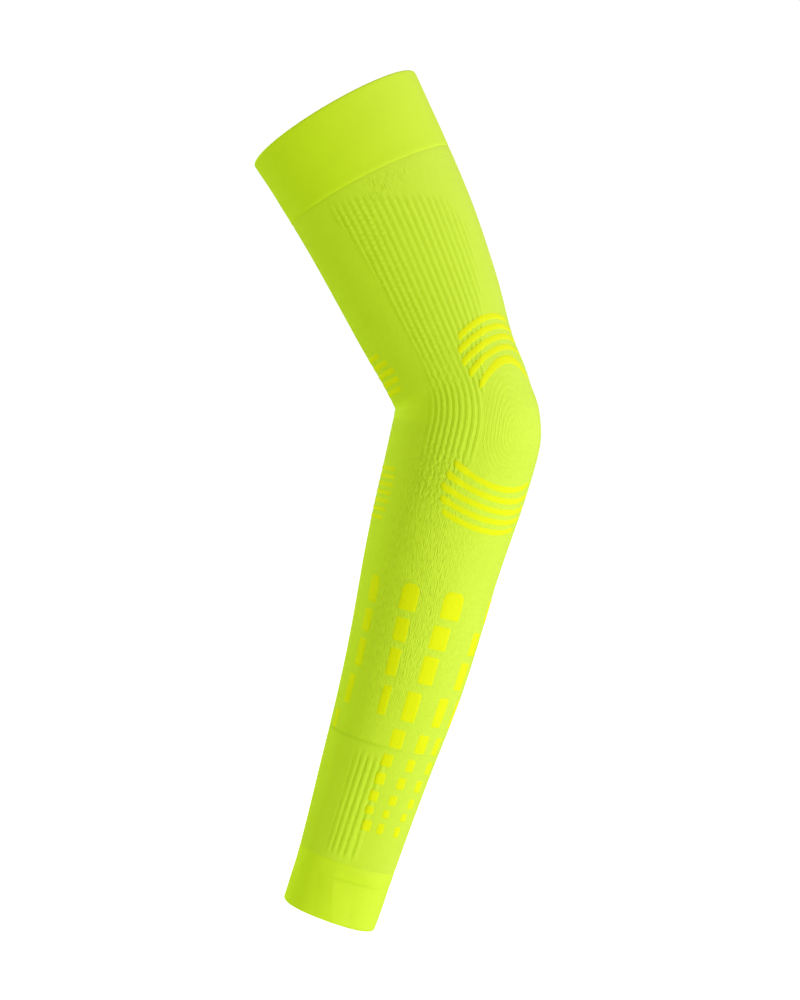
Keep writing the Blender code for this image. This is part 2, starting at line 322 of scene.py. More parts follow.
def places_of(faces, distances, turns):
    """Metres round the arm, at the elbow's size, and down it for each face corner, unbroken across turn 0."""
    corners = np.concatenate([np.asarray(face) for face in faces])
    sizes = np.array([len(face) for face in faces])
    starts = np.concatenate(([0], np.cumsum(sizes)[:-1]))
    turn = turns[corners]
    highest = np.repeat(np.maximum.reduceat(turn, starts), sizes)
    turn = np.where((highest > 1.5 * math.pi) & (turn < 0.5 * math.pi), turn + 2 * math.pi, turn)
    return np.stack([turn * ELBOW_RADIUS, distances[corners]], axis=-1)


def add_piece(name, points, faces, material, distances, turns, masks=()):
    """A mesh object that rides on the sleeve. masks holds (name, values) pairs, one value for each point."""
    mesh = bpy.data.meshes.new(name)
    mesh.from_pydata(points, [], faces)
    layer = mesh.uv_layers.new(name=KNIT_MAP)
    layer.uv.foreach_set("vector", places_of(faces, distances, turns).astype(np.float32).ravel())
    for mask_name, values in masks:
        mask = mesh.attributes.new(mask_name, "FLOAT", "POINT")
        mask.data.foreach_set("value", values.astype(np.float32))
    mesh.shade_smooth()
    mesh.update()
    mesh.materials.append(material)
    piece = bpy.data.objects.new(name, mesh)
    bpy.context.scene.collection.objects.link(piece)
    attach(piece, "root")
    print(name, "has", len(points), "points and", len(faces), "faces")
    return piece


def tube(name, material, rings, turns, relief, wall, inner_rings, inner_step, masks=()):
    """A knitted tube. relief gives outsets for arrays of distances and turns. Every inner_step-th column goes
    on inside. masks holds (name, function) pairs, each kept as a mask that a material can read."""
    inner_turns = turns[::inner_step]
    inside_rings = np.linspace(rings[0], rings[-1], inner_rings)
    outside = on_arm(rings[:, None], turns, relief(rings[:, None], turns))
    inside = on_arm(inside_rings[:, None], inner_turns, -wall)
    points = np.concatenate([outside.reshape(-1, 3), inside.reshape(-1, 3)])
    outer = np.arange(len(rings) * len(turns)).reshape(len(rings), -1)
    inner = outer.size + np.arange(inner_rings * len(inner_turns)).reshape(inner_rings, -1)
    faces = quads(*outer.shape, 0, True).tolist()
    faces += quads(*inner.shape, outer.size, True)[:, ::-1].tolist()
    top, bottom = (ends_joined(outer[end].tolist(), inner[end].tolist()) for end in (0, -1))
    faces += [face[::-1] for face in top] + bottom
    distances = np.concatenate([np.repeat(rings, len(turns)), np.repeat(inside_rings, len(inner_turns))])
    all_turns = np.concatenate([np.tile(turns, len(rings)), np.tile(inner_turns, inner_rings)])
    values = [(mask_name, mask(distances, all_turns)) for mask_name, mask in masks]
    return add_piece(name, points, faces, material, distances, all_turns, values)


print("knit map:", KNIT_MAP)

# %% [markdown]
# Shader maths reads best as plain expressions. The small class below wraps a node's output, so that `1 -
# mask * 0.5` adds the Math nodes by itself. Colours and vectors have their own nodes, because a Math node
# turns a colour into grey, and one method adds any node from its type, its settings and its inputs.

# %% Shader expressions


class Value:
    """A number on a surface, as the output socket of a node."""

    def __init__(self, finish, socket):
        self.finish = finish
        self.socket = socket

    def math(self, operation, *others):
        return self.finish.add("ShaderNodeMath", {"operation": operation}, [self, *others])

    def __add__(self, other):
        return self.math("ADD", other)

    __radd__ = __add__

    def __mul__(self, other):
        return self.math("MULTIPLY", other)

    __rmul__ = __mul__

    def __sub__(self, other):
        return self.math("SUBTRACT", other)

    def __rsub__(self, other):
        return self.finish.add("ShaderNodeMath", {"operation": "SUBTRACT"}, [other, self])

    def __truediv__(self, other):
        return self.math("DIVIDE", other)


class Finish:
    """A material under construction."""

    def __init__(self, name):
        self.material = bpy.data.materials.new(name)
        self.material.use_nodes = True
        self.tree = self.material.node_tree
        self.shader = self.tree.nodes["Principled BSDF"]

    def link(self, value, socket):
        if isinstance(value, Value):
            self.tree.links.new(value.socket, socket)
        else:
            socket.default_value = value

    def add(self, kind, settings, inputs, output=0):
        """Any node: settings are set first, then inputs, a list in order or a dict by socket name."""
        node = self.tree.nodes.new(kind)
        for key, setting in settings.items():
            setattr(node, key, setting)
        named = inputs.items() if isinstance(inputs, dict) else enumerate(inputs)
        for key, value in named:
            self.link(value, node.inputs[key])
        return Value(self, node.outputs[output])

    def mix(self, share, low, high):
        node = self.tree.nodes.new("ShaderNodeMix")
        node.data_type = "RGBA"
        colours = [socket for socket in node.inputs if socket.type == "RGBA"]
        self.link(share, node.inputs[0])
        self.link(low, colours[0])
        self.link(high, colours[1])
        return Value(self, next(socket for socket in node.outputs if socket.type == "RGBA"))

    def mask(self, name):
        return self.add("ShaderNodeAttribute", {"attribute_name": name}, [], "Fac")

    def stretched(self, value, low, high):
        """0 at low, 1 at high, smoothly between and level outside."""
        settings = {"interpolation_type": "SMOOTHSTEP"}
        return self.add("ShaderNodeMapRange", settings, {"Value": value, "From Min": low, "From Max": high})

    def noise(self, place, scale, detail):
        inputs = {"Scale": scale, "Detail": detail}
        if place is not None:
            inputs["Vector"] = place
        return self.add("ShaderNodeTexNoise", {"noise_dimensions": "3D"}, inputs)

    def across(self, x, y):
        return self.add("ShaderNodeCombineXYZ", {}, [x, y, 0.0])


print("shader helpers ready")

# %% [markdown]
# All of the fabric is the same jersey at heart: columns of stitches, called wales, that run down the arm,
# and rows, called courses, that run round it. Each stitch is a small V. The height of that pattern is
# worked out from the metre map: a row of bumps across the wales, whose rows are pushed up and down by a
# triangle wave, so that they zigzag as V after V.

# %% Stitches
ZIGZAG = 1.3
COURSE_HEIGHT = 0.35
WALE_HEIGHT = 0.25
STITCH_MIDDLE = 0.4


def wave(value):
    """A sine wave that repeats at every whole number."""
    return (value * (2 * math.pi)).math("SINE")


def stitches(round_arm, down_arm, wale, course):
    """Height of a jersey stitch pattern, up to 1 on its crests."""
    across = round_arm / wale
    zigzag = across.math("PINGPONG", 0.5)
    courses = wave(down_arm / course + zigzag * ZIGZAG)
    return courses * COURSE_HEIGHT + wave(across) * WALE_HEIGHT + STITCH_MIDDLE


print("crests of the stitches at", round(COURSE_HEIGHT + WALE_HEIGHT + STITCH_MIDDLE, 2))

# %% [markdown]
# The finishes share one recipe. The stitches feed a Bump node, a little noise makes yarns and tones uneven,
# and the hollows of the stitches get a painted shade, a darker colour. The rest comes from masks that a piece
# may carry: the grooves between ribs and the creases get a painted shade, dashes of tighter stitches stand on
# the ribs with painted light on their crests, a crinkled knit stands up like crepe with painted light on its
# crests and painted shade between them, and oval lines cross the elbow's cap. A painted texture could show
# all this too, but it wouldn't stay sharp close up.

# %% Knit finishes
# The second colour of each pair is darker. It is painted shade in the hollows of the stitches, in grooves and
# in creases, and the darker end of a random tone.
NEON = (0.570, 0.790, 0.026, 1.0)
NEON_SHADE_AND_TONE = (0.440, 0.680, 0.008, 1.0)
NEON_SMOOTH = (0.550, 0.765, 0.012, 1.0)
NEON_SMOOTH_SHADE_AND_TONE = (0.480, 0.705, 0.005, 1.0)
YELLOW = (0.690, 0.785, 0.001, 1.0)
YELLOW_SHADE_AND_TONE = (0.625, 0.725, 0.001, 1.0)
HOLLOW_PAINTED_SHADE = 0.28
TONE_SCALE = 90.0
TONE_SHADE = 0.5
YARN_SCALE = 900.0
YARN_HEIGHT = 0.5
TICK_PITCH = 0.0030
TICK_SHIFT = 0.37
TICK_HEIGHT = 0.5
TICK_PAINTED_LIGHT = 0.06
CREPE_ACROSS = 0.0008
CREPE_ALONG = 0.0034
CREPE_CONTRAST = 4.0
CREPE_PAINTED_LIGHT = 0.35
RIM_SHARE = 0.5
ROUGHNESS = 0.70
ROUGHNESS_SPREAD = 0.2
SHEEN = 0.05
SHEEN_ROUGHNESS = 0.45
SHEEN_TINT = (0.85, 1.0, 0.35, 1.0)
KNIT_GLOSS = 0.30
PAD_GLOSS = 0.10


def knit(name, colours, stitch, relief, groove=0.0, crepe=0.0, cap=0.0, sheen=SHEEN, rim=None):
    """A knit finish. colours are the crests' colour and a darker one, which stands for painted shade in
    hollows, grooves and creases and for the darker end of a random tone. stitch is a stitch's width and
    height, and relief how high it stands, in metres. groove is how much painted shade the grooves between
    ribs and the creases get, crepe and cap how high those patterns stand, in stitches. rim is the colour at a
    pad's edge."""
    finish = Finish(name)
    place = finish.add("ShaderNodeUVMap", {"uv_map": KNIT_MAP}, [])
    round_arm = finish.add("ShaderNodeSeparateXYZ", {}, [place], 0)
    down_arm = finish.add("ShaderNodeSeparateXYZ", {}, [place], 1)
    height = stitches(round_arm, down_arm, *stitch)
    tones = finish.noise(None, TONE_SCALE, 3.0)
    yarn = finish.noise(None, YARN_SCALE, 2.0)
    # Painted shade: the lower a point of the stitches lies, the more of the darker colour it gets. The random
    # tone adds real unevenness on top.
    painted_shade_and_tone = (1 - height) * HOLLOW_PAINTED_SHADE + (tones - 0.5) * TONE_SHADE
    if groove:
        own_shift = finish.mask("rib_count").math("FLOOR") * TICK_SHIFT
        # The ticks stand up in the stitches, with painted light on their crests and painted shade between
        # them.
        ticks = finish.mask("dashes") * wave(down_arm / TICK_PITCH + own_shift)
        height = height + ticks * TICK_HEIGHT
        # Painted shade in the grooves between ribs and in the creases, and painted light on the crests of the
        # ticks.
        painted_shade_and_tone = painted_shade_and_tone + finish.mask("groove") * groove - ticks * TICK_PAINTED_LIGHT
    if crepe:
        cells = finish.across(round_arm / CREPE_ACROSS, down_arm / CREPE_ALONG)
        worms = (finish.noise(cells, 1.0, 0.0) - 0.5) * CREPE_CONTRAST
        height = height + finish.mask("crepe") * worms * crepe
        # The crinkles stand up, with painted light on their crests and painted shade in their hollows.
        painted_shade_and_tone = painted_shade_and_tone - finish.mask("crepe") * worms * CREPE_PAINTED_LIGHT
    if cap:
        lines = wave(finish.mask("cap_lines"))
        height = (height + finish.mask("cap") * lines * cap) * (1 - finish.mask("squeezed"))
    bumped = {"Strength": 1.0, "Distance": relief, "Height": height + yarn * YARN_HEIGHT}
    colour = finish.mix(finish.stretched(painted_shade_and_tone, 0.0, 1.0), *colours)
    if rim:
        colour = finish.mix(finish.mask("rim") * RIM_SHARE, colour, rim)
    finish.link(colour, finish.shader.inputs["Base Color"])
    finish.link(finish.add("ShaderNodeBump", {}, bumped, "Normal"), finish.shader.inputs["Normal"])
    finish.link(ROUGHNESS + (yarn - 0.5) * ROUGHNESS_SPREAD, finish.shader.inputs["Roughness"])
    finish.shader.inputs["Sheen Weight"].default_value = sheen
    finish.shader.inputs["Sheen Roughness"].default_value = SHEEN_ROUGHNESS
    finish.shader.inputs["Sheen Tint"].default_value = SHEEN_TINT
    finish.shader.inputs["Specular IOR Level"].default_value = PAD_GLOSS if rim else KNIT_GLOSS
    return finish.material


jersey, smooth, yellow = (NEON, NEON_SHADE_AND_TONE), (NEON_SMOOTH, NEON_SMOOTH_SHADE_AND_TONE), (YELLOW, YELLOW_SHADE_AND_TONE)
ribbed_knit = knit("ribbed_knit", jersey, (0.00105, 0.00078), 0.00016, groove=0.22, crepe=0.8, cap=0.45)
band_knit = knit("band_knit", jersey, (0.00095, 0.00070), 0.00014, groove=0.25)
smooth_knit = knit("smooth_knit", smooth, (0.0008, 0.0006), 0.00006, groove=0.30)
accent_knit = knit("accent_knit", yellow, (0.0009, 0.0007), 0.00010, sheen=0.0, rim=NEON)
print("finishes:", [material.name for material in bpy.data.materials if material.name.endswith("knit")])

# %% [markdown]
# Ribs, lips and creases all start and stop softly. Four small helpers give those soft flanks, so that a
# shape or a mask can be written as a product of plain words such as ramp and hump.

# %% Soft starts and ends


def ramp(low, high, value):
    """0 below low, 1 above high and a smooth rise between."""
    share = np.clip((value - low) / (high - low), 0.0, 1.0)
    return share * share * (3 - 2 * share)


def hump(start, full, fading, gone, value):
    """0 outside start and gone, 1 between full and fading, with smooth flanks."""
    return ramp(start, full, value) * (1 - ramp(fading, gone, value))


def fade(span, loss, value):
    """1 before a span, and less by loss after it."""
    return 1 - loss * ramp(*span, value)


def past(line, span, distance):
    """A ramp over a span that is measured from a line across the arm."""
    return ramp(line + span[0], line + span[1], distance)


print("halfway up a ramp:", ramp(0.0, 1.0, 0.5))

# %% [markdown]
# The body's ribs stand in a panel on each side: they start in a slanting row under the cuff, narrow towards
# the elbow, run straight past it and break up into a crinkled knit below. A table gives the turns between
# which they stand at each distance, as the solids have it. They are a tenth of a millimetre lower than the
# solids' ribs, because the stitches on top add to them. Waves of uneven length push the ribs about below and
# just above the elbow, where a bent arm crumples them. Sums of sines do that, since they need no random
# numbers.

# %% Ribs of the body
BODY_WALL = 0.0015
RIB_PITCH = 0.0034
RIB_HEIGHT = 0.0005
RIB_FLAT_SHARE = 0.18
RibRow = namedtuple("RibRow", "limb along front_deg back_deg height")
RIB_ROWS = (
    RibRow("upper", 0.71, 58, 58, 0.0),
    RibRow("upper", 0.67, 58, 78, 1.0),
    RibRow("upper", 0.61, 60, 102, 1.0),
    RibRow("upper", 0.56, 62, 130, 1.0),
    RibRow("upper", 0.46, 65, 141, 1.0),
    RibRow("upper", 0.31, 68, 134, 1.0),
    RibRow("upper", 0.10, 70, 122, 1.0),
    RibRow("elbow", 0.50, 62, 98, 1.0),
    RibRow("forearm", 0.05, 62, 98, 1.0),
    RibRow("forearm", 0.15, 62, 88, 0.9),
    RibRow("forearm", 0.24, 50, 76, 0.5),
    RibRow("forearm", 0.36, 50, 70, 0.0),
)
RIB_EDGE_DEG = 6
BODY_RIBS_DEG = (50, 146)
BODY_ARC = math.radians(BODY_RIBS_DEG[1] - BODY_RIBS_DEG[0]) * (ELBOW_WIDTH + ELBOW_DEPTH) / 4
BODY_RIBS = round(BODY_ARC / RIB_PITCH)
RIB_FADE = ((0.048, 0.066), 0.65)
FRONT_RIBS_DEG = (34, 41)
FRONT_RIB_HEIGHT = 0.00026
FRONT_RIB_HALF_DEG = 2.6
FRONT_RIB_SPAN = (-0.126, -0.118, -0.070, -0.055)
CRUMPLE_BELOW = (0.022, 0.034, 0.075, 0.100)
CRUMPLE_ABOVE = (-0.036, -0.026, -0.014, -0.005)
CRUMPLE_ABOVE_SHARE = 0.6

# How far waves shift the ribs, in ribs, and how uneven they make them. Waves are sized in metres and degrees.
CRUMPLE_SHIFT = 0.42
CRUMPLE_WAVES = (0.0052, 11.0)
RIB_SHIFT = 0.05
RIB_SHIFT_WAVES = (0.004, 7.0)
UNEVEN_FRONT = 0.34
UNEVEN_LOSS = 0.22
UNEVEN_LOSS_DEG = (84, 104)
UNEVEN_WAVES = (0.0033, 5.0)
CRUMPLE_LOSS = 0.45
CRUMPLE_LOSS_WAVES = (0.0041, 9.0)

RIB_TABLE = np.array([(distance_at(row.limb, row.along), *row[2:]) for row in RIB_ROWS]).T


def wobble(distance, side, along, around_deg):
    """Smooth uneven waves from -1 to 1, about that long in metres and that wide in degrees. The odd factors
    keep the three waves from falling into step."""
    a = distance * (2 * math.pi / along)
    b = side * (2 * math.pi / around_deg)
    return (np.sin(a + 1.3 * np.sin(b)) + np.sin(0.63 * a - b + 1.7) + np.sin(1.47 * a + 0.71 * b + 4.1)) / 3


def crumpled(distance):
    return hump(*CRUMPLE_BELOW, distance) + CRUMPLE_ABOVE_SHARE * hump(*CRUMPLE_ABOVE, distance)


def rib_mask(distance, turn):
    front, back, height = (np.interp(distance, RIB_TABLE[0], column) for column in RIB_TABLE[1:])
    across = hump(front - RIB_EDGE_DEG, front, back, back + RIB_EDGE_DEG, side_deg(turn))
    return height * fade(*RIB_FADE, distance) * across


def rib_phase(distance, turn):
    """Counts the ribs across their panel."""
    first, last = BODY_RIBS_DEG
    side = side_deg(turn)
    waver = CRUMPLE_SHIFT * crumpled(distance) * wobble(distance, side, *CRUMPLE_WAVES)
    waver = waver + RIB_SHIFT * wobble(distance, side, *RIB_SHIFT_WAVES)
    return (side - first) / (last - first) * BODY_RIBS + waver


def rib_profile(phase):
    """Height of one rib across its pitch: 1 on the crest and 0 in the groove."""
    share = np.abs(phase % 1.0 - 0.5) * 2
    return 1 - ramp(RIB_FLAT_SHARE, 1.0, share)


def body_ribs(distance, turn):
    side = side_deg(turn)
    spread = UNEVEN_FRONT - UNEVEN_LOSS * ramp(*UNEVEN_LOSS_DEG, side)
    uneven = 1 + spread * wobble(distance, side, *UNEVEN_WAVES)
    lower = between(0.5, 1.0, wobble(distance, side, *CRUMPLE_LOSS_WAVES))
    uneven = uneven - CRUMPLE_LOSS * crumpled(distance) * lower
    return rib_mask(distance, turn) * rib_profile(rib_phase(distance, turn)) * uneven


def front_ribs(distance, turn):
    """Two faint ribs that run down the front of the upper arm."""
    side = side_deg(turn)
    crests = sum(1 - ramp(0.0, FRONT_RIB_HALF_DEG, np.abs(side - rib)) for rib in FRONT_RIBS_DEG)
    return crests * hump(*FRONT_RIB_SPAN, distance)


print("ribs in a panel:", BODY_RIBS)

# %% [markdown]
# The body carries masks that its finish reads: the painted shade in the grooves between the ribs and in the
# crease above the wrist, the dashes of tighter stitches on the ribs, which rib a point is on, the crinkled
# knit of the forearm and of a patch under the upper cuff, the oval lines of a flatter knit over the elbow's
# point, and the inside of the elbow, where the rows of stitches crowd so much that their relief is left out.
# Each is a small function of distance and turn.
# Spans are in metres down the arm, or in degrees from its inside where the name says so, and a fade is a
# span with the share that is lost after it.

# %% Zones of the body
TUCK_DEPTH = 0.00028
TUCK_SPAN = (-0.0003, 0.0016)
BAND_LIP_RAISE = 0.00012
BAND_LIP_SPAN = (-0.0060, -0.0020)
BAND_ROLL_DEPTH = 0.00034
BAND_ROLL_SPAN = (-0.0024, 0.0)
BAND_TUCK_DEPTH = 0.00008
BAND_TUCK_SPAN = (-0.0004, 0.0)
BAND_LINE_START_DEG = (6, 26)
BAND_LINE_FADE_DEG = ((78, 108), 0.9)
BAND_LINE_REACH = 0.0016
BAND_LINE_PAINTED_SHADE = 1.8
TICK_FADE_DEG = ((80, 104), 0.75)
TICK_BENT_SPAN = (-0.030, -0.016, 0.016, 0.026)
TICK_BENT_LOSS = 0.7
CREPE_SPAN = (0.012, 0.045)
CREPE_FADE = ((0.130, 0.180), 0.7)
CREPE_DEG = (36, 52)
CREPE_FADE_DEG = ((96, 120), 0.6)
PATCH_SPAN = (-0.1305, -0.127, -0.121, -0.117)
PATCH_DEG = (76, 88, 108, 118)
PATCH_STRENGTH = 1.2
CAP_AT = (0.012, 128.0)
CAP_EDGE = (0.014, 0.021)
CAP_LINE_PITCH = 0.0019
CAP_SQUEEZE = 0.75
SQUEEZED_SPAN = (-0.001, 0.002)
SQUEEZED_DEG = (30, 85)


def band_line(turn):
    """The crease above the wrist shows on the front and dies out towards the back."""
    side = side_deg(turn)
    return ramp(*BAND_LINE_START_DEG, side) * fade(*BAND_LINE_FADE_DEG, side)


def line_painted_shade(distance, turn):
    """Painted shade along the crease above the wrist, added to the painted shade in the ribs' grooves."""
    near = 1 - ramp(0.0, BAND_LINE_REACH, np.abs(distance - BAND_LINE_AT))
    return BAND_LINE_PAINTED_SHADE * near * band_line(turn)


def body_relief(distance, turn):
    ribs = RIB_HEIGHT * body_ribs(distance, turn) + FRONT_RIB_HEIGHT * front_ribs(distance, turn)
    start = TUCK_DEPTH * (1 - past(CUFF_LINE_AT, TUCK_SPAN, distance))
    lip = BAND_LIP_RAISE * past(BAND_LINE_AT, BAND_LIP_SPAN, distance)
    rolled = BAND_ROLL_DEPTH * past(BAND_LINE_AT, BAND_ROLL_SPAN, distance)
    under = BAND_TUCK_DEPTH * past(BAND_LINE_AT, BAND_TUCK_SPAN, distance)
    return ribs - start + (lip - rolled) * band_line(turn) - under


def body_groove_shade(distance, turn):
    # Painted shade: how deep a point lies between the ribs, and how near it lies to the crease above the
    # wrist.
    ribs = rib_mask(distance, turn) * (1 - rib_profile(rib_phase(distance, turn)))
    return ribs + line_painted_shade(distance, turn)


def body_dashes(distance, turn):
    bent = 1 - TICK_BENT_LOSS * hump(*TICK_BENT_SPAN, distance)
    return rib_mask(distance, turn) * fade(*TICK_FADE_DEG, side_deg(turn)) * bent


def body_crepe(distance, turn):
    side = side_deg(turn)
    forearm = ramp(*CREPE_SPAN, distance) * fade(*CREPE_FADE, distance)
    forearm = forearm * ramp(*CREPE_DEG, side) * fade(*CREPE_FADE_DEG, side)
    patch = hump(*PATCH_SPAN, distance) * hump(*PATCH_DEG, side)
    return np.maximum(forearm, PATCH_STRENGTH * patch)


def cap_radius(distance, turn):
    """Metres from the middle of the elbow's cap, measured round the arm."""
    around = np.radians(side_deg(turn) - CAP_AT[1]) * ELBOW_RADIUS
    return np.hypot(around, CAP_SQUEEZE * (distance - CAP_AT[0]))


def cap_lines(distance, turn):
    return cap_radius(distance, turn) / CAP_LINE_PITCH


def cap_mask(distance, turn):
    return 1 - ramp(*CAP_EDGE, cap_radius(distance, turn))


def squeezed(distance, turn):
    """Inside the elbow the rows of stitches crowd, so that their relief has to go."""
    bent = 1 - past(HALF_BEND, SQUEEZED_SPAN, np.abs(distance))
    return bent * (1 - ramp(*SQUEEZED_DEG, side_deg(turn)))


print("oval lines on the cap:", round(CAP_EDGE[1] / CAP_LINE_PITCH))

# %% [markdown]
# The body is one long tube, seamless as the real one, over the solids' three lengths. Its first and last
# rings tuck under the neighbouring zones, which leaves a fine crease and no gap. Its rings stand closest
# where the ribs crumple and near its lower edge, and its columns where the ribs are, so that few triangles
# go to plain knit.

# %% Sleeve body
LAP = 0.0010
BODY_SECTORS = ((45, 20), (150, 172), (180, 18))
BODY_INNER_RINGS = 56
BODY_INNER_STEP = 7
FINE_SPAN = (-0.024, 0.088)
FINE_STEP = 0.0009
COARSE_STEP = 0.0022
LIP_START_AT = BAND_LINE_AT - 0.006

body_rings = np.concatenate(
    [
        np.linspace(CUFF_LINE_AT - LAP, CUFF_LINE_AT + LAP, 6)[:-1],
        np.arange(CUFF_LINE_AT + LAP, FINE_SPAN[0], COARSE_STEP),
        np.arange(*FINE_SPAN, FINE_STEP),
        np.linspace(FINE_SPAN[1], LIP_START_AT, 42)[:-1],
        np.linspace(LIP_START_AT, BAND_LINE_AT, 8),
    ]
)
sleeve_body = tube(
    "sleeve_body_knit",
    ribbed_knit,
    body_rings,
    sector_turns(BODY_SECTORS),
    body_relief,
    BODY_WALL,
    BODY_INNER_RINGS,
    BODY_INNER_STEP,
    (
        ("groove", body_groove_shade),
        ("dashes", body_dashes),
        ("rib_count", rib_phase),
        ("crepe", body_crepe),
        ("cap_lines", cap_lines),
        ("cap", cap_mask),
        ("squeezed", squeezed),
    ),
)
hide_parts("upper_arm_tube", "elbow_tube", "forearm_tube")

# %% [markdown]
# Both cuffs are double layers, folded over at the rim, so their edges are round and a little thick. A loop
# of (distance, outset) points is a cuff's profile, and it is carried round the arm. Such a loop is the
# quickest way to a clean, even hem. It starts with the lip, at the line where the cuff meets the knit, and
# goes on along the outside, round the rim and back inside.

# %% Cuffs from a profile
CUFF_WALL = 0.0022
CUFF_COLUMNS = 360
RIM_POINTS = 9
RIM_START = 0.0012
OUTSIDE_SHARE = 0.25
UNEVEN_HEIGHT = 0.00012


def rounded_rim(rim, inward):
    """Half a circle from the outside of the fold to its inside. inward points into the cuff."""
    radius = CUFF_WALL / 2
    angles = np.linspace(0, math.pi, RIM_POINTS)
    return [(rim + inward * radius * (1 - math.sin(a)), radius * (math.cos(a) - 1)) for a in angles]


def even_steps(start, end, count, outset):
    """Points in even steps to the end, without the one at the start."""
    return [(between(start, end, i / count), outset) for i in range(1, count + 1)]


def cuff_profile(line, rim, inward, lip, outer_steps, inner_steps):
    """lip holds (distance, outset) points that are measured from the line where the cuff ends."""
    lip = [(line + along, outset) for along, outset in lip]
    rim_start = rim + inward * RIM_START
    outside = even_steps(lip[-1][0], rim_start, outer_steps, 0.0)
    return lip + outside + rounded_rim(rim, inward)[1:] + even_steps(rim_start, line, inner_steps, -CUFF_WALL)


def profile_tube(name, material, profile, relief, masks=()):
    """A closed tube from a loop of (distance, outset) points. relief is added to its outside alone, and masks
    holds (name, function) pairs, as for a knitted tube."""
    turns = np.linspace(0, 2 * math.pi, CUFF_COLUMNS, endpoint=False)
    distances, outsets = (np.array(column)[:, None] for column in zip(*profile))
    outside = outsets > -OUTSIDE_SHARE * CUFF_WALL
    points = on_arm(distances, turns, outsets + outside * relief(distances, turns)).reshape(-1, 3)
    numbers = np.arange(len(profile) * CUFF_COLUMNS).reshape(len(profile), CUFF_COLUMNS)
    below = np.roll(numbers, -1, axis=0)
    faces = np.stack([numbers, np.roll(numbers, -1, axis=1), np.roll(below, -1, axis=1), below], axis=-1)
    if profile[0][0] > profile[len(profile) // 2][0]:
        faces = faces[..., ::-1]
    faces = faces.reshape(-1, 4).tolist()
    distances, turns = (values.ravel() for values in np.broadcast_arrays(distances, turns))
    values = [(mask_name, mask(distances, turns)) for mask_name, mask in masks]
    return add_piece(name, points, faces, material, distances, turns, values)


def cuff_unevenness(distance, turn):
    """The slight unevenness of a stretched cuff: slow waves that cross each other."""
    return UNEVEN_HEIGHT * np.sin(3 * turn + distance * 90) * np.sin(distance * 150 + turn)


print("points round a cuff:", CUFF_COLUMNS)

# %% [markdown]
# The upper cuff is the wider one. Its lower edge lies over the body in a soft raised line, where the second
# layer is linked on, so its lip starts just under the body's level, rises a tenth of a millimetre and sinks
# back.

# %% Upper cuff
UPPER_LIP = (
    (0.0005, -0.00030),
    (0.0002, -0.00010),
    (-0.0004, 0.00003),
    (-0.0012, 0.00010),
    (-0.0022, 0.00012),
    (-0.0034, 0.00005),
    (-0.0048, 0.0),
)

upper_cuff_loop = cuff_profile(CUFF_LINE_AT, RIM_AT, 1, UPPER_LIP, 30, 12)
upper_cuff = profile_tube("upper_cuff_knit", smooth_knit, upper_cuff_loop, cuff_unevenness)
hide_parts("upper_cuff")

# %% [markdown]
# The wrist cuff is made the same way. Its upper edge is a soft roll, fuller on the side than in front, with a
# shallow crease under it that carries a painted shade. The cuff is stiff, so that it doesn't follow the wrist
# all round but breaks into two flatter faces with a slanting edge.

# %% Wrist cuff
WRIST_LIP = ((-0.0005, -0.00022), (0.0, -0.00006), (0.0006, -0.00002), (0.0012, 0.0))
ROLL_HEIGHT = 0.0085
ROLL_RAISE = 0.00050
ROLL_POWER = 1.3
ROLL_FRONT_SHARE = 0.15
ROLL_DEG = (70, 88)
ROLL_FADE_DEG = ((112, 140), 0.7)
CREASE_DEPTH = 0.00024
CREASE_REACH = 0.0013
CREASE_PAINTED_SHADE = 2.0
EDGE_DEG = (78, 94)
EDGE_RAISE = 0.0010
EDGE_REACH_DEG = 19
EDGE_START = (0.10, 0.45)


def roll_fullness(side):
    """The share of the roll's full height on each side of the wrist."""
    return between(ROLL_FRONT_SHARE, 1.0, ramp(*ROLL_DEG, side)) * fade(*ROLL_FADE_DEG, side)


def wrist_crease(distance, turn):
    """The crease under the roll, 1 where it is deepest."""
    from_crease = np.abs(distance - WRIST_LINE_AT - ROLL_HEIGHT)
    return roll_fullness(side_deg(turn)) * (1 - ramp(0.0, CREASE_REACH, from_crease))


def wrist_crease_shade(distance, turn):
    # Painted shade in the crease under the roll.
    return CREASE_PAINTED_SHADE * wrist_crease(distance, turn)


def wrist_cuff_relief(distance, turn):
    side = side_deg(turn)
    roll = np.clip((distance - WRIST_LINE_AT) / ROLL_HEIGHT, 0.0, 1.0)
    rolled = ROLL_RAISE * roll_fullness(side) * np.sin(math.pi * roll) ** ROLL_POWER
    crease = CREASE_DEPTH * wrist_crease(distance, turn)
    share = np.clip((distance - WRIST_LINE_AT) / WRIST_CUFF_HEIGHT, 0.0, 1.0)
    from_edge = np.abs(side - between(*EDGE_DEG, share)) / EDGE_REACH_DEG
    edge = EDGE_RAISE * np.clip(1 - from_edge, 0.0, 1.0) * ramp(*EDGE_START, share)
    return rolled - crease + edge + cuff_unevenness(distance, turn)


wrist_cuff = profile_tube(
    "wrist_cuff_knit",
    smooth_knit,
    cuff_profile(WRIST_LINE_AT, WRIST_AT, -1, WRIST_LIP, 40, 10),
    wrist_cuff_relief,
    (("groove", wrist_crease_shade),),
)
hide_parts("wrist_cuff")

# %% [markdown]
# The wrist band tucks under the body's edge, which makes the soft curved line above the wrist, darkened
# further by painted shade, and under the wrist cuff's roll. It carries its own short ribs on both sides,
# finer than the body's.

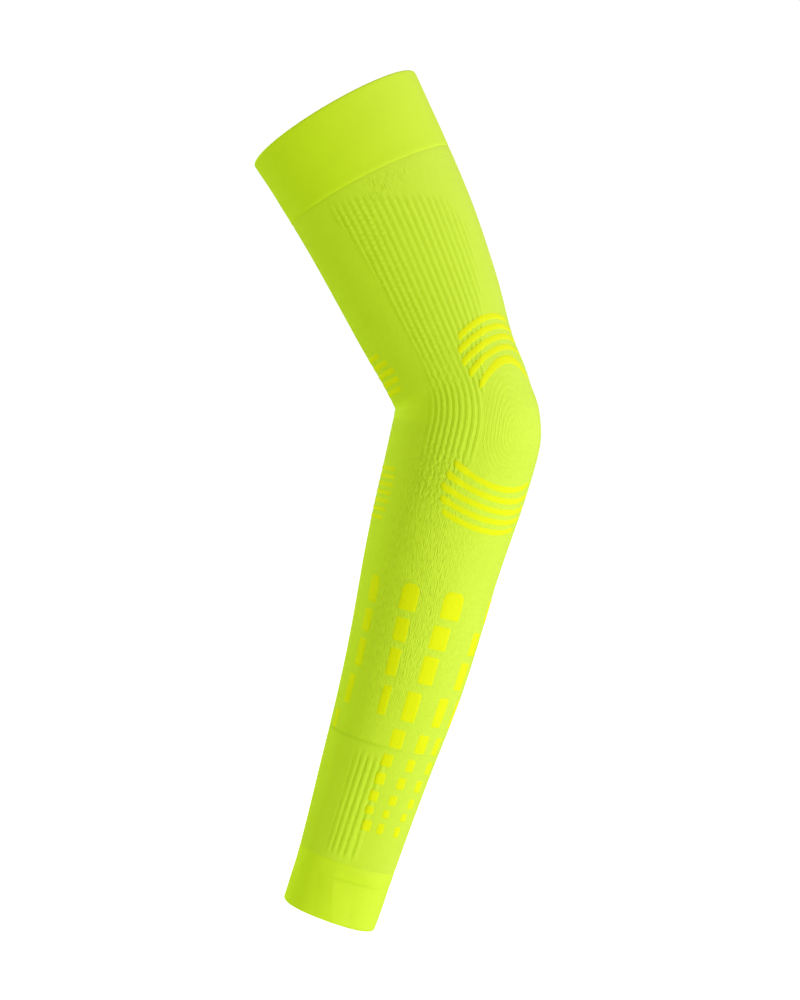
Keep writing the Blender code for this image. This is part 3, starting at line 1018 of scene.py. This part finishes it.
# %% Wrist band
BAND_WALL = 0.0016
BAND_STEP = 0.00025
BAND_RIB_PITCH = 0.0028
BAND_RIB_HEIGHT = 0.0005
BAND_RIBS_DEG = (64, 98)
BAND_RIB_SPAN = (0.05, 0.16, 0.90, 0.98)
BAND_EDGES_DEG = (54, 74, 92, 100)
BAND_RIB_SHIFT = 0.05
BAND_RIB_SHIFT_WAVES = (0.006, 9.0)
BAND_TICKS = 0.4
WRIST_TUCK_DEPTH = 0.00011
WRIST_TUCK_SPAN = (-0.0028, 0.0004)
BAND_SECTORS = ((56, 30), (106, 130), (180, 20))
BAND_RINGS = 66
BAND_INNER_RINGS = 20
BAND_INNER_STEP = 6
BAND_ARC = math.radians(BAND_RIBS_DEG[1] - BAND_RIBS_DEG[0]) * (WRIST_WIDTH + WRIST_DEPTH) / 4
BAND_RIBS = round(BAND_ARC / BAND_RIB_PITCH)


def band_share(distance):
    return (distance - BAND_LINE_AT) / WRIST_BAND_HEIGHT


def band_mask(distance, turn):
    return hump(*BAND_RIB_SPAN, band_share(distance)) * hump(*BAND_EDGES_DEG, side_deg(turn))


def band_phase(distance, turn):
    """Counts the band's ribs across their panel."""
    first, last = BAND_RIBS_DEG
    side = side_deg(turn)
    waver = BAND_RIB_SHIFT * wobble(distance, side, *BAND_RIB_SHIFT_WAVES)
    return (side - first) / (last - first) * BAND_RIBS + waver


def band_step(distance, turn):
    """How far the band lies below the body: most at the crease and nothing at the wrist cuff."""
    return BAND_STEP * band_line(turn) * (1 - ramp(0.0, 1.0, band_share(distance)))


def band_relief(distance, turn):
    ribs = BAND_RIB_HEIGHT * band_mask(distance, turn) * rib_profile(band_phase(distance, turn))
    tucked = WRIST_TUCK_DEPTH * past(WRIST_LINE_AT, WRIST_TUCK_SPAN, distance)
    return ribs - band_step(distance, turn) - tucked


def band_dashes(distance, turn):
    return BAND_TICKS * band_mask(distance, turn)


def band_groove_shade(distance, turn):
    # Painted shade between the band's ribs and near the crease above it.
    ribs = band_mask(distance, turn) * (1 - rib_profile(band_phase(distance, turn)))
    return ribs + line_painted_shade(distance, turn)


wrist_band = tube(
    "wrist_band_knit",
    band_knit,
    np.linspace(BAND_LINE_AT - LAP, WRIST_LINE_AT + LAP, BAND_RINGS),
    sector_turns(BAND_SECTORS),
    band_relief,
    BAND_WALL,
    BAND_INNER_RINGS,
    BAND_INNER_STEP,
    (("groove", band_groove_shade), ("dashes", band_dashes), ("rib_count", band_phase)),
)
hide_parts("wrist_band")

# %% [markdown]
# The yellow marks are knitted in with a thicker second yarn, so each stands about a sixth of a millimetre
# proud, with soft shoulders. A pad is a grid over a rounded rectangle on the arm. Its rows get shorter
# towards its ends, which rounds the corners, and its height falls away near the edge. A second grid just
# under the knit closes it. A pad's middle may be a curve, so that the long bars beside the elbow can bow.

# %% Raised pads
PAD_RAISE = 0.00016
PAD_SINK = 0.00025
PAD_SHOULDER = 0.0013
PAD_START_SHARE = 0.12
PAD_BOTTOM_SHARE = 2.5
PAD_RIM = 0.0005
PAD_LEVEL_SHARE = 0.9
EDGE_CROWDING = 0.55


def edge_shares(count):
    """Shares from -1 to 1, closer together towards both ends."""
    even = np.linspace(-1, 1, count)
    return np.sin(even * math.pi / 2) * EDGE_CROWDING + even * (1 - EDGE_CROWDING)


def pad_grid(middle, half_long, half_wide, corners, along_count, across_count):
    """Grids of turn, distance and way to the pad's edge. middle maps metres along and across the pad to a
    turn and a distance. corners holds the radii at the start and at the end of the pad's length."""
    run = edge_shares(along_count)[:, None] * half_long
    corner = np.where(run < 0, *corners)
    to_end = np.maximum(half_long - np.abs(run), 0.0)
    cut = corner - np.sqrt(np.maximum(corner**2 - np.maximum(corner - to_end, 0.0) ** 2, 0.0))
    share = edge_shares(across_count)[None, :]
    to_edge = np.minimum((half_wide - cut) * (1 - np.abs(share)), to_end + 0 * share)
    turn, distance = middle(run + 0 * share, share * (half_wide - cut))
    return turn, distance, to_edge


def surface_level(distance, turn):
    """The knit's level under a pad, which lies near the crests of the ribs."""
    body = PAD_LEVEL_SHARE * RIB_HEIGHT * rib_mask(distance, turn)
    band = PAD_LEVEL_SHARE * BAND_RIB_HEIGHT * band_mask(distance, turn) - band_step(distance, turn)
    return np.where(distance < BAND_LINE_AT, body, band)


def pads(name, grids):
    """One object from many pads, each closed by a second grid below."""
    points, faces, distances, turns, edges = [], [], [], [], []
    first = 0
    for turn, distance, to_edge in grids:
        rows, columns = turn.shape
        count = rows * columns
        level = surface_level(distance, turn)
        rise = ramp(0.0, PAD_SHOULDER, to_edge + PAD_START_SHARE * PAD_SHOULDER)
        raised = rise * (PAD_RAISE + PAD_SINK) - PAD_SINK
        points.append(on_arm(distance, turn, level + raised))
        points.append(on_arm(distance, turn, level - PAD_BOTTOM_SHARE * PAD_SINK))
        top = quads(rows, columns, first, False)
        bottom = top[:, ::-1] + count
        numbers = np.arange(count).reshape(rows, columns) + first
        rim = np.concatenate([numbers[0, :-1], numbers[:-1, -1], numbers[-1, :0:-1], numbers[:0:-1, 0]])
        after = np.roll(rim, -1)
        wall = np.stack([after, rim, rim + count, after + count], axis=-1)
        faces += [*top.tolist(), *bottom.tolist(), *wall.tolist()]
        distances += [distance, distance]
        turns += [turn, turn]
        edges += [1 - ramp(0.0, PAD_RIM, to_edge)] * 2
        first += 2 * count
    points = np.concatenate([grid.reshape(-1, 3) for grid in points])
    columns = (distances, turns, edges)
    distances, turns, edges = (np.concatenate([grid.ravel() for grid in column]) for column in columns)
    piece = add_piece(name, points, faces, accent_knit, distances, turns, [("rim", edges)])
    return piece


print("pads stand", round(PAD_RAISE * 1000, 2), "mm above the ribs' level")

# %% [markdown]
# Down the forearm run five columns of dashes, which get shorter and narrower towards the wrist. The chart
# gives one row of dashes a line: how far down it lies, how long its dashes are, and the turn and width of
# each dash from the inside of the arm outwards. The first row's dashes have round heads. The other side of
# the arm mirrors this one.

# %% Forearm dashes
DashRow = namedtuple("DashRow", "distance length turns_deg widths_deg")
DASH_ROWS = (
    DashRow(0.1075, 0.0160, (41, 78, 116, 171), (13.0, 17.5, 20.5, 15.0)),
    DashRow(0.1255, 0.0140, (40, 77, 112, 157.5), (12.5, 14.5, 18.0, 18.0)),
    DashRow(0.1435, 0.0165, (40, 77, 110, 152), (12.0, 12.5, 16.5, 18.0)),
    DashRow(0.1645, 0.0175, (36, 78, 104, 137, 166), (12.0, 10.5, 16.0, 15.0, 13.0)),
    DashRow(0.1830, 0.0115, (24, 100, 128, 152), (10.0, 15.5, 15.5, 14.0)),
    DashRow(0.1955, 0.0080, (97, 123, 154), (12.5, 12.0, 14.0)),
    DashRow(0.2060, 0.0076, (96, 119, 146), (11.0, 12.0, 14.0)),
    DashRow(0.2160, 0.0066, (95, 116, 144), (10.5, 11.5, 13.0)),
    DashRow(0.2240, 0.0056, (95, 113, 139), (9.0, 10.0, 12.0)),
    DashRow(0.2325, 0.0070, (97, 112, 136), (10.5, 10.5, 12.0)),
)
DASH_CORNER = 0.0016
HEAD_CORNER = 0.0052
ROUNDEST_HEAD = 0.95
ROUNDEST_FOOT = 0.9
DASH_POINTS = (18, 11)


def dash_grid(row, turn_deg, width_deg, head):
    """A dash, whose length runs down the arm."""
    radius = float(mean_radius(row.distance))
    half_wide = math.radians(width_deg) * radius / 2

    def middle(run, offset):
        return math.radians(turn_deg) + offset / radius, row.distance + run

    corners = (min(head, ROUNDEST_HEAD * half_wide), min(DASH_CORNER, ROUNDEST_FOOT * half_wide))
    return pad_grid(middle, row.length / 2, half_wide, corners, *DASH_POINTS)


dash_grids = []
for row in DASH_ROWS:
    head = HEAD_CORNER if row is DASH_ROWS[0] else DASH_CORNER
    for turn_deg, width_deg in zip(row.turns_deg, row.widths_deg):
        for centre in (turn_deg, 360 - turn_deg):
            dash_grids.append(dash_grid(row, centre, width_deg, head))
forearm_dashes = pads("forearm_dashes", dash_grids)

# %% [markdown]
# Above and below the elbow's point lie a few plain bars in the same yarn, one inside the other and bowed
# round the cap that the elbow's point fills, and shorter straight ones cross the front above and below the
# crease. Each row of the chart is one bar: its distance at the middle, how far its ends bow down the arm,
# its turns and its width. The front ones are charted as distance and half their turn.

# %% Elbow bars
Bar = namedtuple("Bar", "distance bow first_deg last_deg width")
ELBOW_BARS = (
    Bar(-0.0140, 0.0075, 102, 164, 0.0044),
    Bar(-0.0200, 0.0070, 97, 170, 0.0044),
    Bar(-0.0260, 0.0064, 95, 172, 0.0044),
    Bar(-0.0320, 0.0057, 96, 168, 0.0044),
    Bar(-0.0380, 0.0050, 100, 160, 0.0044),
    Bar(0.0400, -0.0075, 88, 166, 0.0044),
    Bar(0.0460, -0.0070, 84, 171, 0.0044),
    Bar(0.0520, -0.0064, 82, 172, 0.0044),
    Bar(0.0580, -0.0057, 84, 168, 0.0044),
    Bar(0.0640, -0.0050, 88, 162, 0.0044),
)
UPPER_FRONT_WIDTH = 0.0042
LOWER_FRONT_WIDTH = 0.0032
UPPER_FRONT = ((-0.0430, 30), (-0.0378, 36), (-0.0326, 39), (-0.0274, 39), (-0.0222, 36))
LOWER_FRONT = (
    (0.0440, 36),
    (0.0484, 38),
    (0.0528, 39),
    (0.0572, 39),
    (0.0616, 38),
    (0.0660, 36),
    (0.0704, 34),
)
FRONT_BARS = [Bar(at, 0.0, -half_deg, half_deg, UPPER_FRONT_WIDTH) for at, half_deg in UPPER_FRONT]
FRONT_BARS += [Bar(at, 0.0, -half_deg, half_deg, LOWER_FRONT_WIDTH) for at, half_deg in LOWER_FRONT]
BAR_STEP = 0.0012
FEWEST_STEPS = 12
BAR_COLUMNS = 9
BAR_CORNER_SHARE = 0.48


def bar_grid(bar, mirrored):
    """A bar, whose length runs round the arm from its first turn to its last."""
    radius = float(mean_radius(bar.distance))
    half_long = math.radians(bar.last_deg - bar.first_deg) * radius / 2
    centre = math.radians(bar.first_deg + bar.last_deg) / 2

    def middle(run, offset):
        turn = centre + run / radius
        bowed = bar.distance + bar.bow * (run / half_long) ** 2
        return (2 * math.pi - turn if mirrored else turn), bowed + (offset if mirrored else -offset)

    steps = max(FEWEST_STEPS, round(half_long * 2 / BAR_STEP))
    corners = (BAR_CORNER_SHARE * bar.width,) * 2
    return pad_grid(middle, half_long, bar.width / 2, corners, steps, BAR_COLUMNS)


bar_grids = [bar_grid(bar, mirrored) for bar in ELBOW_BARS for mirrored in (False, True)]
elbow_bars = pads("elbow_bars", bar_grids + [bar_grid(bar, False) for bar in FRONT_BARS])

# %% [markdown]
# The photo is a product shot on pure white. A wide pale floor, lit from within like a light table, stands
# in for the white sweep below. It is only seen: it lights nothing and throws no shade, so lamps may stand
# lower than it. A large soft key light stands on the right. Three weaker ones, tinted like the cloth, make
# the thin light rims on the left, behind and at the top edge. Nothing here is part of the sleeve.

# %% Floor and lamps
FLOOR_DROP = 0.10
FLOOR_HALF = 30.0
WHITE = (1.0, 1.0, 1.0, 1.0)
FLOOR_LOOK = {
    "Base Color": (0.90, 0.90, 0.90, 1.0),
    "Roughness": 0.95,
    "Specular IOR Level": 0.1,
    "Emission Color": WHITE,
    "Emission Strength": 0.80,
}
LAMP_SIZE = 0.9
LAMP_WHITE = (1.0, 1.0, 1.0)
LAMP_NEON = (0.90, 1.0, 0.50)
LAMPS = (
    ("key", (1.15, -0.95, -0.60), 17.0, LAMP_WHITE),
    ("rim_left", (-1.15, -0.50, -0.75), 7.0, LAMP_NEON),
    ("rim_behind", (-1.2, 0.8, 0.4), 7.0, LAMP_NEON),
    ("rim_above", (-0.75, 0.1, 1.3), 4.5, LAMP_NEON),
)


def soft_light(name, place, watts, colour):
    """A round soft light that looks at the elbow."""
    data = bpy.data.lights.new(name, "AREA")
    data.shape = "DISK"
    data.size = LAMP_SIZE
    data.energy = watts
    data.color = colour
    light = bpy.data.objects.new(name, data)
    light.location = place
    light.rotation_euler = (-Vector(place)).to_track_quat("-Z", "Y").to_euler()
    bpy.context.scene.collection.objects.link(light)


for lamp in LAMPS:
    soft_light(*lamp)

floor_z = CAD_BOX[0][2] - FLOOR_DROP
floor_corners = [(x * FLOOR_HALF, y * FLOOR_HALF, floor_z) for x, y in ((-1, -1), (1, -1), (1, 1), (-1, 1))]
floor_mesh = bpy.data.meshes.new("floor")
floor_mesh.from_pydata(floor_corners, [], [(0, 1, 2, 3)])
floor_finish = Finish("pale_floor")
for socket, setting in FLOOR_LOOK.items():
    floor_finish.shader.inputs[socket].default_value = setting
floor_mesh.materials.append(floor_finish.material)
floor = bpy.data.objects.new("floor", floor_mesh)
bpy.context.scene.collection.objects.link(floor)
floor.visible_diffuse = False
floor.visible_glossy = False
floor.visible_shadow = False
print("floor at", round(floor_z, 3), "m, lamps:", [lamp[0] for lamp in LAMPS])

# %% [markdown]
# The world is white where the camera sees it. As light it is a room that is bright on the right and dimmer
# and greener on the left, where neon cloth throws its own colour back. A picture of a real studio could
# light the sleeve too, but two tints and a direction are enough for cloth without gloss.

# %% Room light
ROOM_BRIGHT = 1.05
ROOM_DIM = 0.42
ROOM_SEEN = 1.05
BRIGHT_SIDE = (1.0, -0.2, 0.25)
BRIGHT_TINT = (1.05, 0.93, 2.0, 1.0)
DIM_TINT = (0.97, 1.0, 0.10, 1.0)


class Room(Finish):
    """The world's own node tree, with the same shorthand."""

    def __init__(self, name):
        self.world = bpy.data.worlds.new(name)
        self.world.use_nodes = True
        self.tree = self.world.node_tree
        self.shader = self.tree.nodes["Background"]


room = Room("studio")
bpy.context.scene.world = room.world
way = room.add("ShaderNodeTexCoord", {}, [], "Generated")
bright_way = tuple(Vector(BRIGHT_SIDE).normalized())
toward = room.add("ShaderNodeVectorMath", {"operation": "DOT_PRODUCT"}, [way, bright_way], "Value")
share = room.stretched(toward, 0.0, 1.0)
level = share * (ROOM_BRIGHT - ROOM_DIM) + ROOM_DIM
seen = room.add("ShaderNodeLightPath", {}, [], "Is Camera Ray")
room.link(level + seen * (ROOM_SEEN - level), room.shader.inputs["Strength"])
room.link(room.mix(seen, room.mix(share, DIM_TINT, BRIGHT_TINT), WHITE), room.shader.inputs["Color"])
bpy.context.scene.view_settings.view_transform = "Standard"
print("room light from", ROOM_DIM, "to", ROOM_BRIGHT)

# %% [markdown]
# Last, the sizes. The dressed sleeve has to stay within the solids' box, apart from the little that knit may
# stand proud, so the solids' box is printed.

# %% Sizes and finish
print("solids:", [[round(v, 4) for v in corner] for corner in CAD_BOX])
